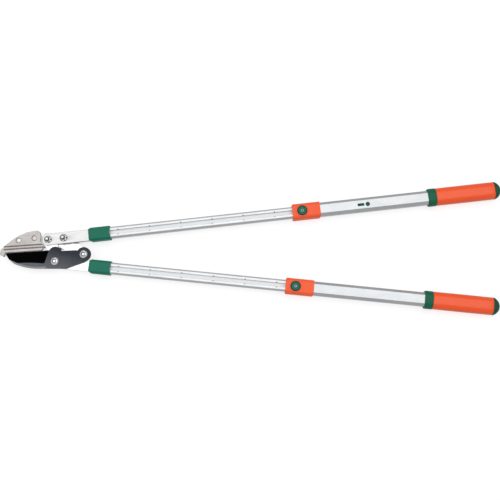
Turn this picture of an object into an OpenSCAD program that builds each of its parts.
// Telescopic anvil loppers: a compound-action cutting head on two telescopic handles.
// The tool lies flat on its clamp sleeves and grips. +X runs from the blade to the grips,
// +Y towards the handle that swings, +Z up. All sizes are millimetres.
// The jaw is closed and the handles are pulled out. The origin is below the middle of the box.

/* [Cutting head] */

// Thickness of the steel plate that carries the anvil and the fixed handle
carrier_thickness = 4; // [3.6:0.2:4]
// Thickness of the blade
blade_thickness = 4; // [3.4:0.2:4]
// Thickness of the front strap of the swinging handle
front_strap_thickness = 3; // [2.6:0.2:3]
// Thickness of the back strap of the swinging handle
back_strap_thickness = 2.5; // [2.1:0.2:2.5]
// Thickness of the link between the blade and the straps
link_thickness = 3; // [2.6:0.2:3]
// Height of the anvil block above the carrier plate
anvil_height = 5.8; // [5.4:0.2:6.4]
// Depth of the two grooves along the anvil
anvil_groove_depth = 1; // [0.6:0.1:1.2]
// Radius of the four pivot bolts
bolt_r = 4; // [3.5:0.25:4]
// Radius of the domed heads on the blade
blade_bolt_head_r = 7.6; // [7:0.2:8]

/* [Handles] */

// Distance from the ferrule to the clamp sleeve on the swinging handle
upper_pull_out = 389.9; // [380:0.1:390]
// Distance from the ferrule to the clamp sleeve on the fixed handle
lower_pull_out = 372.5; // [370:0.1:390]
// Spacing of the marks along the inner tubes
mark_pitch = 60; // [50:5:60]
// Number of marks on each inner tube
mark_count = 7; // [5:1:7]
// Wall thickness of the inner tubes
inner_wall = 1.4; // [1.2:0.1:1.5]
// Wall thickness of the outer tubes
outer_wall = 1.5; // [1.3:0.1:1.5]

/* [Grips and locks] */

// Width of the grips
grip_width = 33; // [32.5:0.5:33.5]
// Width of the clamp sleeves
clamp_width = 30; // [29.5:0.5:31]
// Radius of the lock buttons
button_r = 9.4; // [9:0.1:9.5]
// Travel of the lock buttons
button_stroke = 1.6; // [1.2:0.1:1.6]

/* [Hidden] */

$fn = 48;
TINY = 0.01;
PLATE_GAP = 0.1;
RUNNING_FIT = 0.05;

// Heights of the flat layers of the head, about the plane of the handle axes.
axis_z = 14;
carrier_bottom = axis_z - carrier_thickness / 2;
carrier_top = axis_z + carrier_thickness / 2;
front_bottom = carrier_top + PLATE_GAP;
blade_top = front_bottom + blade_thickness;
strap_top = front_bottom + front_strap_thickness;
link_top = carrier_bottom - PLATE_GAP;
link_bottom = link_top - link_thickness;
back_top = link_bottom - PLATE_GAP;
back_bottom = back_top - back_strap_thickness;
anvil_top = carrier_top + anvil_height;

// The linkage, seen from above with the blade pivot at zero.
tail_pin = [54.3, 13.3];
handle_pin = [-14.8, 41.8];
crank_length = 29.6;
upper_angle = 6.4;
lower_angle = -5.7;
lower_root = [0, -2.7];
link_pin = handle_pin + crank_length * [cos(upper_angle), sin(upper_angle)];
link_vector = link_pin - tail_pin;
link_length = norm(link_vector);
link_angle = atan2(link_vector.y, link_vector.x);
// The link's free hole takes up what a constant ratio can't follow of the true linkage.
free_hole_r = bolt_r + 1.8;

// Stations along a handle, from the front face of its ferrule.
upper_ferrule_at = 78.5;
lower_ferrule_at = 66.2;
ferrule_length = 40.5;
tube_start = 22;
tube_end = 468;
core_end = 60;
first_mark = 55.8;
clamp_length = 53;
button_at = 18.3;
sleeve_pocket = 30;
collar_at = 261.7;
grip_at = 277.1;
cap_at = 389.7;
handle_end = 403.8;

// Sections of the handle parts: width, height and corner radius.
inner_w = 21.8;
inner_h = 15.5;
inner_r = 4;
outer_w = 26.2;
outer_h = 20.5;
outer_r = 5;
grip_h = 2 * axis_z;
grip_r = 12;
collar_w = grip_width + 1;
slot_w = 7.6;
slot_cavity_w = 12.4;
slot_floor = 3.35;
slot_wall = 1;
end_round = 17.6;

// The lock, about the plane of the handle axis.
well_floor = 10.8;
roof_top = grip_h / 2;
boss_top = roof_top + 1.6;
stem_r = 2.4;
button_top = boss_top + 1.6;
button_skirt = well_floor + button_stroke + 0.2;
foot_top = inner_h / 2 - inner_wall - 0.05;

// Middle of the tool's box, from the blade pivot.
anvil_tip_x = -105.5;
cap_shoulder = end_round - sqrt(pow(end_round, 2) - pow(grip_width / 2, 2));
upper_length = upper_ferrule_at + upper_pull_out + handle_end;
lower_length = lower_ferrule_at + lower_pull_out + handle_end;
right_x = handle_pin.x + (upper_length - end_round) * cos(upper_angle) + end_round;
top_y = handle_pin.y + (upper_length - cap_shoulder) * sin(upper_angle)
    + grip_width / 2 * cos(upper_angle);
bottom_y = lower_root.y + (lower_length - cap_shoulder) * sin(lower_angle)
    - grip_width / 2 * cos(lower_angle);
middle = [(anvil_tip_x + right_x) / 2, (top_y + bottom_y) / 2];

// ---- Placement ----

module at_head() {
    translate([-middle.x, -middle.y, 0]) children();
}

module on_upper_handle(station = 0) {
    at_head()
        translate([handle_pin.x, handle_pin.y, axis_z])
            rotate([0, 0, upper_angle])
                translate([upper_ferrule_at + station, 0, 0])
                    children();
}

module on_lower_handle(station = 0) {
    at_head()
        translate([lower_root.x, lower_root.y, axis_z])
            rotate([0, 0, lower_angle])
                translate([lower_ferrule_at + station, 0, 0])
                    children();
}

// ---- Shared shapes ----

function arc_points(centre, r, from, to, count) =
    [for (i = [0:count]) centre + r * [cos(from + (to - from) * i / count),
        sin(from + (to - from) * i / count)]];

module plate(bottom, top) {
    translate([0, 0, bottom]) linear_extrude(height = top - bottom) children();
}

module disc(centre, r) {
    translate(centre) circle(r = r);
}

// A bar of the given half width between two points, with square ends.
module bar(from, to, half) {
    run = to - from;
    translate(from)
        rotate(atan2(run.y, run.x))
            translate([0, -half])
                square([norm(run), 2 * half]);
}

module rounded_section(w, h, r) {
    square([w - 2 * r, h], center = true);
    square([w, h - 2 * r], center = true);
    for (sx = [-1, 1], sy = [-1, 1])
        translate([sx * (w / 2 - r), sy * (h / 2 - r)]) circle(r = r);
}

// Sweeps a section, drawn as width by height, along the handle.
module along(from, to) {
    translate([from, 0, 0])
        rotate([90, 0, 90])
            linear_extrude(height = to - from)
                children();
}

// A pivot bolt from the back face of its nut to the underside of its head.
module shank(centre, bottom, top) {
    translate([centre.x, centre.y, bottom]) cylinder(r = bolt_r, h = top - bottom);
}

// A low domed head with a flat rim.
module domed_head(centre, base, r, rise) {
    rim = 1.2;
    crown = (r * r + pow(rise - rim, 2)) / (2 * (rise - rim));
    translate([centre.x, centre.y, base]) {
        cylinder(r = r, h = rim);
        translate([0, 0, rim - TINY])
            intersection() {
                translate([0, 0, rise - rim - crown]) sphere(r = crown, $fn = 64);
                cylinder(r = r - TINY, h = rise);
            }
    }
}

module spacer(centre, bottom, top, r) {
    translate([centre.x, centre.y, bottom])
        difference() {
            cylinder(r = r, h = top - bottom);
            translate([0, 0, -1]) cylinder(r = bolt_r, h = top - bottom + 2);
        }
}

module nut(centre, top, height, hole_r) {
    translate([centre.x, centre.y, top - height])
        difference() {
            cylinder(r = 7.5, h = height, $fn = 6);
            translate([0, 0, -1]) cylinder(r = hole_r, h = height + 2);
        }
}

// ---- Cutting head ----

module carrier_outline() {
    polygon([[-83, 35.5], [-82, 32], [-28, 34], [-25, 32.5], [-18, 22], [-13.5, 6], [-13, 0],
        [3.8, 0], [3.8, 38], [-4, 54.4], [-21, 54.9], [-27.6, 49.8], [-45, 50], [-60, 45.5],
        [-72, 40]]);
    disc(handle_pin, 13.2);
    disc([0, 0], 13.2);
    translate(lower_root)
        rotate(lower_angle) {
            translate([0, -10.2]) square([lower_ferrule_at - 1, 20.4]);
            translate([0, -8.2]) square([lower_ferrule_at + core_end, 16.4]);
        }
}

module carrier_plate() {
    color([0.86, 0.86, 0.84])
        at_head()
            difference() {
                plate(carrier_bottom, carrier_top) carrier_outline();
                plate(0, 40) {
                    disc([0, 0], bolt_r);
                    disc(handle_pin, bolt_r + RUNNING_FIT);
                    disc(anvil_rivets[0], rivet_r);
                    disc(anvil_rivets[1], rivet_r);
                }
            }
}

anvil_rivets = [[-69.3, 39.5], [-39.7, 43.7]];
rivet_r = 3;
rivet_head_r = 5.3;
anvil_face = [[-93.5, 16.3], [-25.65, 20.9]];
anvil_angle = atan2(anvil_face[1].y - anvil_face[0].y, anvil_face[1].x - anvil_face[0].x);
anvil_flange_bottom = carrier_bottom + 1;

module anvil_outline() {
    polygon([anvil_face[0], anvil_face[1], [-20.5, 27.9], [-26.2, 33.8], [-28.5, 38],
        [-28.5, 53], [-30.4, 56.1], [-34.2, 58.5], [-42.75, 57.4], [-54.2, 55.1],
        [-67.5, 49.4], [-80.75, 40.85], [-96.9, 27.6], [-102.6, 20.9], [anvil_tip_x, 14.3],
        [-102.5, 11], [-96.9, 8.4]]);
}

// The part of the anvil below the carrier plate's edge, where the blade lands.
module anvil_flange_outline() {
    polygon([anvil_face[0], anvil_face[1], [-20.9, 27.4], [-26.4, 31.2], [-84, 29.2],
        [-88, 33.4], [-96.9, 27.6], [-102.6, 20.9], [anvil_tip_x, 14.3], [-102.5, 11],
        [-96.9, 8.4]]);
}

// A round-bottomed groove that starts inside the tip and runs out at the heel.
module anvil_groove(start, length) {
    groove_r = 1.5;
    translate([start.x, start.y, anvil_top - anvil_groove_depth + groove_r])
        rotate([0, 0, anvil_angle])
            rotate([0, 90, 0])
                cylinder(r = groove_r, h = length);
}

module anvil_block() {
    color([0.72, 0.71, 0.69])
        at_head()
            difference() {
                union() {
                    plate(carrier_top, anvil_top) anvil_outline();
                    plate(anvil_flange_bottom, carrier_top + TINY) anvil_flange_outline();
                }
                anvil_groove([-96, 27.2], 76);
                anvil_groove([-96.5, 21.7], 78);
                plate(0, 40) {
                    disc(anvil_rivets[0], rivet_r);
                    disc(anvil_rivets[1], rivet_r);
                }
                plate(anvil_top - 1.5, 40) {
                    disc(anvil_rivets[0], rivet_head_r);
                    disc(anvil_rivets[1], rivet_head_r);
                }
            }
}

module anvil_rivet(centre) {
    color([0.78, 0.77, 0.75])
        at_head()
            translate([centre.x, centre.y, 0]) {
                translate([0, 0, carrier_bottom - 1]) cylinder(r = rivet_r, h = anvil_top - carrier_bottom);
                translate([0, 0, carrier_bottom - 2]) cylinder(r = rivet_head_r, h = 2);
                translate([0, 0, anvil_top - 1.5]) cylinder(r = rivet_head_r - RUNNING_FIT, h = 1.3);
            }
}

module anvil_rivet_front() {
    anvil_rivet(anvil_rivets[0]);
}

module anvil_rivet_rear() {
    anvil_rivet(anvil_rivets[1]);
}

edge_tip = [-93, 15.9];
edge_heel = [-14, 21.2];
belly = [-30, -14.3];
belly_r = 122;
hump = [0.4, 15.2];

module blade_outline() {
    difference() {
        union() {
            polygon(concat([edge_heel, edge_tip, [-92.6, 11.6], [-86.5, 2.9]],
                arc_points([belly.x, belly.y + belly_r], belly_r, 247.5, 270, 12),
                [[22.8, -14.3], [58.5, -0.3], [50, 20], [38, 21], [12, 19.5]]));
            disc(hump, 12.7);
            disc(tail_pin, 13.7);
        }
        polygon([[-16, 21.07], [-93, 15.9], [-93, 40], [-11.2, 40], [-11.2, 21.39]]);
    }
}

// The ground face of the blade, falling from the middle of the blade to its edge.
module blade_bevel() {
    slope = 5.3;
    intersection() {
        plate(front_bottom, blade_top + 1)
            polygon([[-100, 30], [-11, 30], [-20.7, -3.8], [-100, -3.8]]);
        translate([-110, -3.8, blade_top])
            rotate([-slope, 0, 0])
                cube([110, 60, 20]);
    }
}

module cutting_blade() {
    color([0.16, 0.17, 0.2])
        at_head()
            difference() {
                plate(front_bottom, blade_top) blade_outline();
                blade_bevel();
                plate(0, 40) {
                    disc([0, 0], bolt_r + RUNNING_FIT);
                    disc(tail_pin, bolt_r);
                }
            }
}

module blade_pivot_bolt() {
    color([0.8, 0.81, 0.82])
        at_head() {
            shank([0, 0], carrier_bottom - 7, blade_top + PLATE_GAP + 1);
            domed_head([0, 0], blade_top + PLATE_GAP, blade_bolt_head_r, 4.6);
        }
}

module blade_pivot_nut() {
    color([0.75, 0.76, 0.78])
        at_head()
            nut([0, 0], carrier_bottom, 6, bolt_r);
}

module tail_pin_bolt() {
    color([0.8, 0.81, 0.82])
        at_head() {
            shank(tail_pin, back_top - 6, blade_top + 1);
            domed_head(tail_pin, blade_top, blade_bolt_head_r, 4.6);
        }
}

module tail_pin_nut() {
    color([0.75, 0.76, 0.78])
        at_head()
            nut(tail_pin, back_top, 5, bolt_r);
}

module tail_pin_spacer() {
    color([0.8, 0.81, 0.82])
        at_head()
            spacer(tail_pin, carrier_bottom, front_bottom, 8);
}

// The link's lobe fills the corner beside the carrier and clears the handle pivot's spacer.
module link_outline() {
    lobe_r = 22;
    bar(tail_pin, link_pin, 10.6);
    disc(tail_pin, 11);
    disc(link_pin, 11);
    polygon(concat(arc_points(link_pin, lobe_r, 200, 270, 8),
        [[18, 15], [48, 5], [50, 16], [20, 42], [8, 44]]));
}

module link_plate() {
    color([0.86, 0.86, 0.84])
        at_head()
            difference() {
                plate(link_bottom, link_top) link_outline();
                plate(0, 40) {
                    disc(tail_pin, bolt_r + RUNNING_FIT);
                    disc(link_pin, free_hole_r);
                }
            }
}

// ---- Straps of the swinging handle ----

module strap(bottom, top) {
    color([0.88, 0.88, 0.87])
        difference() {
            on_upper_handle(-upper_ferrule_at)
                plate(bottom - axis_z, top - axis_z) {
                    disc([0, 0], 11.4);
                    bar([0, 0], [upper_ferrule_at - 0.5, 0], 10.9);
                    bar([0, 0], [upper_ferrule_at + tube_start - 1, 0], 9.3);
                }
            at_head()
                plate(0, 40) {
                    disc(handle_pin, bolt_r);
                    disc(link_pin, bolt_r);
                }
        }
}

module strap_front() {
    strap(front_bottom, strap_top);
}

module strap_back() {
    strap(back_bottom, back_top);
}

// A pivot bolt of the straps, with a flanged head and a long domed crown.
module strap_bolt(centre) {
    color([0.8, 0.81, 0.82])
        at_head() {
            shank(centre, back_bottom - 5.4, strap_top + 1);
            translate([centre.x, centre.y, strap_top]) {
                cylinder(r = 7, h = 1.4);
                cylinder(r = 5.9, h = 5.4);
                translate([0, 0, 5.4]) sphere(r = 4.6);
            }
        }
}

module handle_pivot_bolt() {
    strap_bolt(handle_pin);
}

module handle_pivot_nut() {
    color([0.75, 0.76, 0.78])
        at_head()
            nut(handle_pin, back_bottom, 5, bolt_r);
}

module handle_pivot_spacer() {
    color([0.8, 0.81, 0.82])
        at_head()
            spacer(handle_pin, back_top, link_top, 5.5);
}

module link_pin_spacer() {
    color([0.8, 0.81, 0.82])
        at_head()
            spacer(link_pin, carrier_bottom, front_bottom, 6.5);
}

module link_pin_bolt() {
    strap_bolt(link_pin);
}

module link_pin_nut() {
    color([0.75, 0.76, 0.78])
        at_head()
            nut(link_pin, back_bottom, 5, bolt_r);
}

// ---- Handles: each part is drawn along +X from the front of the ferrule ----

module ferrule() {
    half_w = 13;
    half_h = 11;
    bevel = 4;
    front_x = 4;
    front_y = 2.8;
    notch_depth = 1.2;
    difference() {
        intersection() {
            along(0, ferrule_length)
                polygon([[half_w, half_h - bevel], [half_w - bevel, half_h],
                    [bevel - half_w, half_h], [-half_w, half_h - bevel],
                    [-half_w, bevel - half_h], [bevel - half_w, -half_h],
                    [half_w - bevel, -half_h], [half_w, bevel - half_h]]);
            plate(-half_h, half_h)
                polygon([[0, front_y - half_w], [front_x, -half_w], [ferrule_length, -half_w],
                    [ferrule_length, half_w], [front_x, half_w], [0, half_w - front_y]]);
        }
        along(tube_start, ferrule_length + 1) rounded_section(inner_w, inner_h, inner_r);
        along(-1, tube_start + 1) square([19, 16.2], center = true);
        translate([ferrule_length - notch_depth, -slot_w / 2, 4])
            cube([2 * notch_depth, slot_w, half_h]);
    }
}

module inner_tube_section() {
    difference() {
        rounded_section(inner_w, inner_h, inner_r);
        rounded_section(inner_w - 2 * inner_wall, inner_h - 2 * inner_wall, inner_r - inner_wall);
    }
    difference() {
        translate([-slot_cavity_w / 2 - slot_wall, slot_floor - slot_wall])
            square([slot_cavity_w + 2 * slot_wall, inner_h / 2 - slot_floor + slot_wall - 0.4]);
        translate([-slot_cavity_w / 2, slot_floor])
            square([slot_cavity_w, inner_h / 2 - slot_floor - inner_wall]);
    }
}

module inner_tube() {
    difference() {
        along(tube_start, tube_end) inner_tube_section();
        along(tube_start - 1, tube_end + 1)
            translate([-slot_w / 2, slot_floor])
                square([slot_w, inner_h]);
        for (i = [0:mark_count - 1])
            translate([first_mark + i * mark_pitch - 0.9, -slot_w / 2 - 1.5, inner_h / 2 - 0.5])
                cube([1.8, slot_w + 3, 2]);
    }
}

// A sliding ring on the end of the inner tube, inside the outer tube.
module glide_bush() {
    difference() {
        along(tube_end - 14, tube_end + 2)
            rounded_section(outer_w - 2 * outer_wall - 0.2, outer_h - 2 * outer_wall - 0.2,
                outer_r - outer_wall - 0.1);
        along(tube_end - 15, tube_end) rounded_section(inner_w, inner_h, inner_r);
        along(tube_end - 1, tube_end + 3)
            rounded_section(inner_w - 4, inner_h - 4, inner_r - 2);
    }
}

module outer_tube() {
    along(sleeve_pocket, cap_at + 3)
        difference() {
            rounded_section(outer_w, outer_h, outer_r);
            rounded_section(outer_w - 2 * outer_wall, outer_h - 2 * outer_wall,
                outer_r - outer_wall);
        }
}

module clamp_sleeve() {
    chamfer = 1.6;
    half = clamp_width / 2;
    difference() {
        union() {
            intersection() {
                along(0, clamp_length) rounded_section(clamp_width, grip_h, 7);
                plate(-axis_z, axis_z)
                    polygon([[0, chamfer - half], [chamfer, -half],
                        [clamp_length - chamfer, -half], [clamp_length, chamfer - half],
                        [clamp_length, half - chamfer], [clamp_length - chamfer, half],
                        [chamfer, half], [0, half - chamfer]]);
            }
            translate([button_at, 0, roof_top - 1]) cylinder(r = button_r + 2.2, h = boss_top - roof_top + 1);
        }
        along(-1, sleeve_pocket + 1) rounded_section(inner_w + 0.3, inner_h + 0.3, inner_r + 0.1);
        along(sleeve_pocket, clamp_length + 1) rounded_section(outer_w, outer_h, outer_r);
        translate([button_at, 0, well_floor]) cylinder(r = button_r + 0.4, h = 20);
        translate([button_at, 0, 0]) cylinder(r = stem_r + 0.08, h = 20);
    }
}

module lock_button() {
    difference() {
        union() {
            translate([button_at, 0, button_skirt]) cylinder(r = button_r, h = button_top - button_skirt - 1);
            translate([button_at, 0, button_top - 1 - TINY]) cylinder(r1 = button_r, r2 = button_r - 1, h = 1);
        }
        translate([button_at, 0, button_skirt - 1])
            difference() {
                cylinder(r = button_r - 1.6, h = button_top - button_skirt - 0.8);
                cylinder(r = stem_r + 1.2, h = 20);
            }
        translate([button_at, 0, button_skirt - 1]) cylinder(r = stem_r, h = 3.4);
        translate([button_at, 0, button_top - 1.2]) cylinder(r = 3, h = 2);
        translate([button_at, 0, button_skirt - 1]) cylinder(r = 1.2, h = 20);
    }
}

// The stem goes down through the sleeve into the tube's slot, where the foot clamps the lips.
module lock_foot() {
    translate([button_at, 0, 0])
        difference() {
            union() {
                translate([0, 0, foot_top - TINY]) cylinder(r = stem_r, h = button_skirt + 2.4 - foot_top);
                translate([-6, 0.4 - slot_cavity_w / 2, foot_top - 1.2])
                    cube([12, slot_cavity_w - 0.8, 1.2]);
            }
            translate([0, 0, foot_top + 0.5]) cylinder(r = 1.2, h = 20);
        }
}

module button_screw() {
    translate([button_at, 0, 0])
        difference() {
            union() {
                translate([0, 0, foot_top + 0.5]) cylinder(r = 1.2, h = button_top - 1 - foot_top - 0.5);
                translate([0, 0, button_top - 1.2]) cylinder(r = 2.7, h = 1.4);
            }
            translate([0, 0, button_top - 0.6]) cylinder(r = 1.3, h = 2, $fn = 6);
        }
}

// A spring of flat-lying rings, each joined to the next by one post on alternate sides.
module lock_spring() {
    coil_r = 5.6;
    wire_r = 0.45;
    rings = 4;
    pitch = (button_top - 1.8 - well_floor - 2 * wire_r) / (rings - 1);
    translate([button_at, 0, well_floor + wire_r])
        for (i = [0:rings - 1]) {
            translate([0, 0, i * pitch])
                rotate_extrude() translate([coil_r, 0]) circle(r = wire_r);
            if (i > 0)
                rotate([0, 0, 180 * i])
                    translate([coil_r, 0, (i - 1) * pitch]) cylinder(r = wire_r, h = pitch);
        }
}

module grip_collar() {
    difference() {
        along(collar_at, grip_at) rounded_section(collar_w, grip_h, grip_r);
        along(collar_at - 1, grip_at + 1) rounded_section(outer_w, outer_h, outer_r);
        along(collar_at - 1, collar_at + 2) rounded_section(collar_w - 5, grip_h - 5, grip_r - 2.5);
    }
}

module grip_sleeve() {
    difference() {
        along(grip_at, cap_at) rounded_section(grip_width, grip_h, grip_r);
        along(grip_at - 1, cap_at + 1) rounded_section(outer_w, outer_h, outer_r);
    }
}

// The grip's section carried on and cut to a ball at the end.
module end_cap() {
    difference() {
        intersection() {
            along(cap_at, handle_end + 1) rounded_section(grip_width, grip_h, grip_r);
            translate([handle_end - end_round, 0, 0]) sphere(r = end_round, $fn = 96);
        }
        along(cap_at - 1, cap_at + 3) rounded_section(outer_w, outer_h, outer_r);
        along(cap_at - 1, cap_at + 8) rounded_section(outer_w - 4, outer_h - 4, outer_r - 2);
    }
}

module tube_core(bottom, top) {
    translate([2, -8.2, bottom - axis_z]) cube([core_end - 2, 16.4, top - bottom]);
}

orange = [0.96, 0.36, 0.2];
green = [0.1, 0.4, 0.3];
alloy = [0.85, 0.86, 0.87];
steel = [0.8, 0.81, 0.82];

// ---- Swinging handle ----

module upper_ferrule() {
    color(green) on_upper_handle() ferrule();
}

module upper_core() {
    color(steel) on_upper_handle() tube_core(back_top, front_bottom);
}

module upper_inner_tube() {
    color(alloy) on_upper_handle() inner_tube();
}

module upper_glide_bush() {
    color([0.1, 0.1, 0.1]) on_upper_handle() glide_bush();
}

module upper_outer_tube() {
    color(alloy) on_upper_handle(upper_pull_out) outer_tube();
}

module upper_clamp_sleeve() {
    color(orange) on_upper_handle(upper_pull_out) clamp_sleeve();
}

module upper_lock_button() {
    color(green) on_upper_handle(upper_pull_out) lock_button();
}

module upper_lock_foot() {
    color(steel) on_upper_handle(upper_pull_out) lock_foot();
}

module upper_button_screw() {
    color(steel) on_upper_handle(upper_pull_out) button_screw();
}

module upper_lock_spring() {
    color(steel) on_upper_handle(upper_pull_out) lock_spring();
}

module upper_grip_collar() {
    color(green) on_upper_handle(upper_pull_out) grip_collar();
}

module upper_grip_sleeve() {
    color(orange) on_upper_handle(upper_pull_out) grip_sleeve();
}

module upper_end_cap() {
    color(green) on_upper_handle(upper_pull_out) end_cap();
}

// ---- Fixed handle ----

module lower_ferrule() {
    color(green) on_lower_handle() ferrule();
}

module lower_core() {
    color(steel) on_lower_handle() tube_core(axis_z - inner_h / 2 + inner_wall + 0.6, carrier_bottom);
}

module lower_inner_tube() {
    color(alloy) on_lower_handle() inner_tube();
}

module lower_glide_bush() {
    color([0.1, 0.1, 0.1]) on_lower_handle() glide_bush();
}

module lower_outer_tube() {
    color(alloy) on_lower_handle(lower_pull_out) outer_tube();
}

module lower_clamp_sleeve() {
    color(orange) on_lower_handle(lower_pull_out) clamp_sleeve();
}

module lower_lock_button() {
    color(green) on_lower_handle(lower_pull_out) lock_button();
}

module lower_lock_foot() {
    color(steel) on_lower_handle(lower_pull_out) lock_foot();
}

module lower_button_screw() {
    color(steel) on_lower_handle(lower_pull_out) button_screw();
}

module lower_lock_spring() {
    color(steel) on_lower_handle(lower_pull_out) lock_spring();
}

module lower_grip_collar() {
    color(green) on_lower_handle(lower_pull_out) grip_collar();
}

module lower_grip_sleeve() {
    color(orange) on_lower_handle(lower_pull_out) grip_sleeve();
}

module lower_end_cap() {
    color(green) on_lower_handle(lower_pull_out) end_cap();
}

// ---- Drawing ----

carrier_plate();
anvil_block();
anvil_rivet_front();
anvil_rivet_rear();
blade_pivot_bolt();
blade_pivot_nut();
cutting_blade();
tail_pin_bolt();
tail_pin_nut();
tail_pin_spacer();
link_plate();
strap_front();
strap_back();
handle_pivot_bolt();
handle_pivot_nut();
handle_pivot_spacer();
link_pin_bolt();
link_pin_nut();
link_pin_spacer();
upper_ferrule();
upper_core();
upper_inner_tube();
upper_glide_bush();
upper_outer_tube();
upper_clamp_sleeve();
upper_lock_button();
upper_lock_foot();
upper_button_screw();
upper_lock_spring();
upper_grip_collar();
upper_grip_sleeve();
upper_end_cap();
lower_ferrule();
lower_core();
lower_inner_tube();
lower_glide_bush();
lower_outer_tube();
lower_clamp_sleeve();
lower_lock_button();
lower_lock_foot();
lower_button_screw();
lower_lock_spring();
lower_grip_collar();
lower_grip_sleeve();
lower_end_cap();
